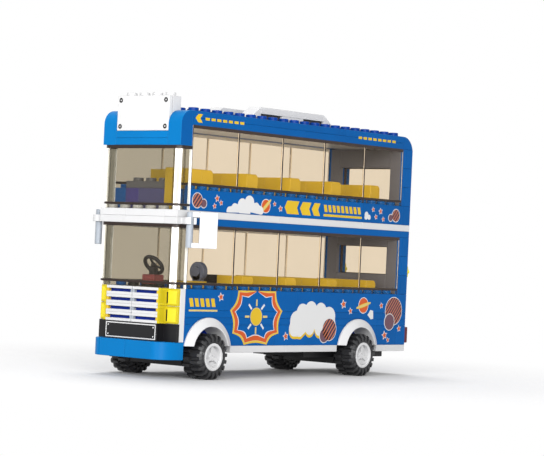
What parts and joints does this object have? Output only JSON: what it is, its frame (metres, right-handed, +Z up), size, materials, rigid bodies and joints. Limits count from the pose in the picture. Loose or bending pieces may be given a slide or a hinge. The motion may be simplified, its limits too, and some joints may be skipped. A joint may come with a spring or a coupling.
{
  "type": "toy brick double decker bus",
  "caption": "Toy double decker bus of studded building bricks, with bench seats behind clear smoky window panels on both decks, two roof rails, and free-turning wheels.",
  "frame": {"origin": "on the ground under the middle of the bus, bottom centre of the whole model", "axes": "+X towards the nose, +Y towards the left side, +Z up"},
  "size_m": [0.184, 0.076, 0.1289],
  "materials": {
    "blue_plastic": "gloss",
    "azure_plastic": "gloss",
    "navy_plastic": "gloss",
    "white_plastic": "gloss",
    "black_plastic": "satin",
    "yellow_plastic": "gloss",
    "grey_plastic": "satin",
    "dark_red": "gloss",
    "clear_yellow": "clear",
    "clear_brown": "clear",
    "tyre_rubber": "matte"
  },
  "bodies": {
    "root": {"front_axle_carrier": "black_plastic", "rear_axle_carrier": "black_plastic", "floor_plate": "navy_plastic", "side_sills": "white_plastic", "left_lower_wall": "blue_plastic", "right_lower_wall": "blue_plastic", "front_mudguards": "white_plastic", "rear_mudguards": "white_plastic", "wheel_boxes": "navy_plastic", "front_panel": "white_plastic", "grille": "white_plastic", "grille_backing": "yellow_plastic", "headlights": "clear_yellow", "plate_carrier": "black_plastic", "number_plate": "black_plastic", "bumper": "azure_plastic", "dashboard": "black_plastic", "steering_wheel": "grey_plastic", "lower_windscreen": "clear_brown", "upper_windscreen": "clear_brown", "left_lower_windows": "clear_brown", "right_lower_windows": "clear_brown", "left_upper_windows": "clear_brown", "right_upper_windows": "clear_brown", "deck_plate": "blue_plastic", "deck_stripe": "white_plastic", "front_band": "white_plastic", "upper_bands": "blue_plastic", "rear_wall_lower": "blue_plastic", "rear_wall_upper": "blue_plastic", "rear_windows": "clear_brown", "rear_lamps": "clear_yellow", "tail_markers": "dark_red", "roof": "blue_plastic", "roof_front": "azure_plastic", "sign_board": "white_plastic", "sign_backing": "white_plastic", "roof_hatch": "white_plastic", "roof_vents": "grey_plastic", "lower_seats": "yellow_plastic", "upper_seats": "yellow_plastic", "deck_box": "navy_plastic", "aisle_block": "black_plastic", "driver_seat": "yellow_plastic", "driver_backrest": "grey_plastic", "left_mirror": "white_plastic", "right_mirror": "white_plastic"},
    "front_left_wheel": {"front_left_hub": "white_plastic", "front_left_tyre": "tyre_rubber"},
    "front_right_wheel": {"front_right_hub": "white_plastic", "front_right_tyre": "tyre_rubber"},
    "rear_left_wheel": {"rear_left_hub": "white_plastic", "rear_left_tyre": "tyre_rubber"},
    "rear_right_wheel": {"rear_right_hub": "white_plastic", "rear_right_tyre": "tyre_rubber"}
  },
  "joints": [
    {"name": "front_left_wheel_spin", "type": "hinge", "parent": "root", "child": "front_left_wheel", "pos_m": [0.0632, 0.0226, 0.0104], "axis": [0, 1, 0], "continuous": true},
    {"name": "front_right_wheel_spin", "type": "hinge", "parent": "root", "child": "front_right_wheel", "pos_m": [0.0632, -0.0226, 0.0104], "axis": [0, 1, 0], "continuous": true},
    {"name": "rear_left_wheel_spin", "type": "hinge", "parent": "root", "child": "rear_left_wheel", "pos_m": [-0.0488, 0.0226, 0.0104], "axis": [0, 1, 0], "continuous": true},
    {"name": "rear_right_wheel_spin", "type": "hinge", "parent": "root", "child": "rear_right_wheel", "pos_m": [-0.0488, -0.0226, 0.0104], "axis": [0, 1, 0], "continuous": true}
  ]
}
